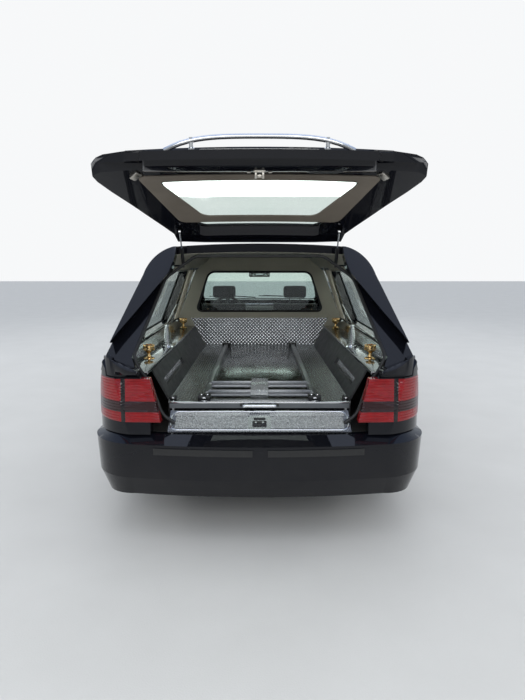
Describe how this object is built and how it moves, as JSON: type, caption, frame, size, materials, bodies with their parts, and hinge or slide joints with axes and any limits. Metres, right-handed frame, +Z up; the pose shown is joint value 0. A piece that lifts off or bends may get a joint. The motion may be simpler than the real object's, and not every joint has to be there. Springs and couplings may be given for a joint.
{
  "type": "hearse",
  "caption": "Long black estate-bodied hearse with a lifting tailgate, steel coffin deck with rails, sliding drawer, opening doors and bonnet, and steered rolling wheels.",
  "frame": {"origin": "on the ground, midway along the whole length with the tailgate up, midway across", "axes": "+Y forward, +X to the car's right, +Z up"},
  "size_m": [2.02, 5.8347, 1.9543],
  "materials": {
    "black_paint": "gloss",
    "floor_paint": "satin",
    "stainless": "polished",
    "chrome": "mirror polished",
    "brass": "polished",
    "glass": "clear, faintly green",
    "red_lens": "ribbed",
    "clear_lens": "clear ribbed",
    "black_plastic": "grained",
    "grey_board": "fine grain",
    "grey_metal": "satin",
    "seat_cloth": "woven",
    "tyre": "satin",
    "alloy": "satin",
    "iron": "rough",
    "dark_steel": "satin"
  },
  "bodies": {
    "root": {"floor_pan": "floor_paint", "left_side_panel": "black_paint", "right_side_panel": "black_paint", "roof_panel": "black_paint", "cowl_panel": "black_paint", "left_front_wing": "black_paint", "right_front_wing": "black_paint", "front_bumper": "black_paint", "rear_bumper": "black_paint", "grille": "chrome", "headlamps": "clear_lens", "tail_lamps": "red_lens", "windscreen": "glass", "quarter_windows": "glass", "partition_wall": "stainless", "partition_window": "glass", "coffin_deck": "stainless", "sill_panel": "clear_lens", "side_trays": "grey_board", "tray_lamps": "brass", "dashboard": "black_plastic", "front_seats": "seat_cloth", "engine_block": "iron", "front_subframe": "dark_steel", "rear_axle": "dark_steel"},
    "bonnet": {"bonnet": "black_paint"},
    "tailgate": {"tailgate": "black_paint", "tailgate_window": "glass", "tailgate_grip_strip": "chrome"},
    "strut_tubes": {"strut_tubes": "grey_metal"},
    "strut_rods": {"strut_rods": "chrome"},
    "drawer": {"drawer": "grey_metal"},
    "right_front_door": {"right_front_door": "black_paint", "right_front_door_window": "glass"},
    "right_front_wheel": {"right_front_tyre": "tyre", "right_front_rim": "alloy"},
    "right_rear_door": {"right_rear_door": "black_paint", "right_rear_door_window": "glass"},
    "right_rear_wheel": {"right_rear_tyre": "tyre", "right_rear_rim": "alloy"},
    "right_knuckle": {"right_knuckle": "iron"},
    "left_front_door": {"left_front_door": "black_paint", "left_front_door_window": "glass"},
    "left_front_wheel": {"left_front_tyre": "tyre", "left_front_rim": "alloy"},
    "left_rear_door": {"left_rear_door": "black_paint", "left_rear_door_window": "glass"},
    "left_rear_wheel": {"left_rear_tyre": "tyre", "left_rear_rim": "alloy"},
    "left_knuckle": {"left_knuckle": "iron"}
  },
  "joints": [
    {"name": "right_front_door_hinge", "type": "hinge", "parent": "root", "child": "right_front_door", "pos_m": [0.893, 1.5545, 0.6], "axis": [0, 0, 1], "range_deg": [0, 65]},
    {"name": "right_rear_door_hinge", "type": "hinge", "parent": "root", "child": "right_rear_door", "pos_m": [0.898, 0.542, 0.6], "axis": [0, 0, 1], "range_deg": [0, 65]},
    {"name": "left_front_door_hinge", "type": "hinge", "parent": "root", "child": "left_front_door", "pos_m": [-0.893, 1.5545, 0.6], "axis": [0, 0, -1], "range_deg": [0, 65]},
    {"name": "left_rear_door_hinge", "type": "hinge", "parent": "root", "child": "left_rear_door", "pos_m": [-0.898, 0.542, 0.6], "axis": [0, 0, -1], "range_deg": [0, 65]},
    {"name": "bonnet_hinge", "type": "hinge", "parent": "root", "child": "bonnet", "pos_m": [0, 1.6235, 0.96], "axis": [1, 0, 0], "range_deg": [0, 45]},
    {"name": "tailgate_hinge", "type": "hinge", "parent": "root", "child": "tailgate", "pos_m": [0, -1.8885, 1.455], "axis": [-1, 0, 0], "range_deg": [-73.6, 0]},
    {"name": "strut_tube_hinge", "type": "hinge", "parent": "root", "child": "strut_tubes", "pos_m": [0, -1.9485, 1.39], "axis": [-1, 0, 0], "range_deg": [-91.51, 0]},
    {"name": "strut_rod_slide", "type": "slide", "parent": "strut_tubes", "child": "strut_rods", "axis": [0, -0.5406, 0.8413], "range_m": [-0.09229, 0]},
    {"name": "drawer_slide", "type": "slide", "parent": "root", "child": "drawer", "axis": [0, -1, 0], "range_m": [0, 1.1]},
    {"name": "right_steering", "type": "hinge", "parent": "root", "child": "right_knuckle", "pos_m": [0.69, 2.1055, 0.32], "axis": [0, 0, 1], "range_deg": [-34, 34]},
    {"name": "left_steering", "type": "hinge", "parent": "root", "child": "left_knuckle", "pos_m": [-0.69, 2.1055, 0.32], "axis": [0, 0, 1], "range_deg": [-34, 34]},
    {"name": "right_front_wheel_spin", "type": "hinge", "parent": "right_knuckle", "child": "right_front_wheel", "pos_m": [0.768, 2.1055, 0.32], "axis": [1, 0, 0], "continuous": true},
    {"name": "right_rear_wheel_spin", "type": "hinge", "parent": "root", "child": "right_rear_wheel", "pos_m": [0.768, -1.4645, 0.32], "axis": [1, 0, 0], "continuous": true},
    {"name": "left_front_wheel_spin", "type": "hinge", "parent": "left_knuckle", "child": "left_front_wheel", "pos_m": [-0.768, 2.1055, 0.32], "axis": [1, 0, 0], "continuous": true},
    {"name": "left_rear_wheel_spin", "type": "hinge", "parent": "root", "child": "left_rear_wheel", "pos_m": [-0.768, -1.4645, 0.32], "axis": [1, 0, 0], "continuous": true}
  ],
  "couplings": [
    {"joint": "strut_tube_hinge", "follows": "tailgate_hinge", "ratio": 1.2392},
    {"joint": "strut_rod_slide", "follows": "tailgate_hinge", "m_per_rad": 0.07153},
    {"joint": "left_steering", "follows": "right_steering", "ratio": 1}
  ]
}
